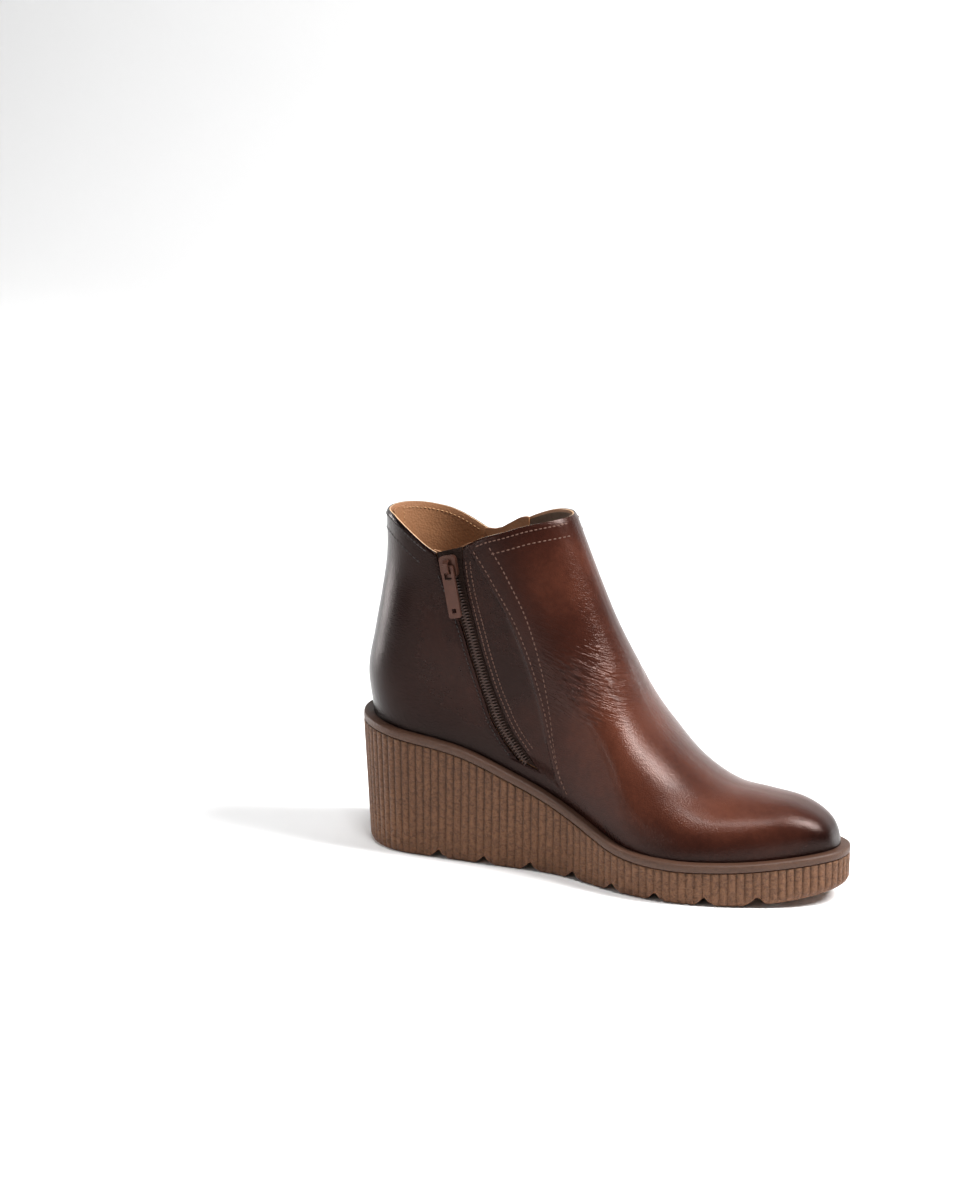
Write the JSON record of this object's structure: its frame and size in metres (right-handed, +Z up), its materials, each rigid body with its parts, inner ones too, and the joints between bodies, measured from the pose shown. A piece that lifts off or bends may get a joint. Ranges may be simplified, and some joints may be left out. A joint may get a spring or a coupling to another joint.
{
  "type": "wedge ankle boot",
  "caption": "Left wedge ankle boot with a ribbed gum wedge sole, smooth rand, burnished leather upper, an inner zip with a pull tab and an outer zip with a ring and strap pull.",
  "frame": {"origin": "on the floor under the middle of the boot's bounding box", "axes": "+X towards the toe, +Y towards the outer side of the left foot, +Z up"},
  "size_m": [0.262, 0.101, 0.1784],
  "materials": {
    "gum": "matte ribbed gum rubber",
    "rand": "smooth satin gum rubber",
    "leather": "polished burnished brown leather",
    "lining": "plain tan lining leather",
    "zip_tape": "dark woven tape",
    "zip_coil": "dark nylon coil",
    "painted_metal": "brown painted metal",
    "copper_metal": "polished copper tone metal",
    "ring_metal": "bright nickel wire",
    "teeth_metal": "dull metal teeth"
  },
  "bodies": {
    "boot": {"outsole": "gum", "midsole": "rand", "insole": "lining", "upper": "leather", "zip_tape_inner": "zip_tape", "zip_coil_inner": "zip_coil", "zip_slider_inner": "painted_metal", "zip_tape_outer": "zip_tape", "zip_teeth_outer": "teeth_metal", "zip_slider_outer": "copper_metal"},
    "inner_tab": {"zip_tab_inner": "painted_metal"},
    "outer_pull": {"zip_ring_outer": "ring_metal", "zip_pull_outer": "leather"}
  },
  "joints": [
    {"name": "inner_tab_hinge", "type": "hinge", "parent": "boot", "child": "inner_tab", "pos_m": [-0.07569, -0.03322, 0.15211], "axis": [-0.9742, -0.0163, -0.2249], "range_deg": [0, 140]},
    {"name": "outer_pull_hinge", "type": "hinge", "parent": "boot", "child": "outer_pull", "pos_m": [-0.06942, 0.03302, 0.15309], "axis": [1, 0, 0], "range_deg": [0, 140]}
  ]
}
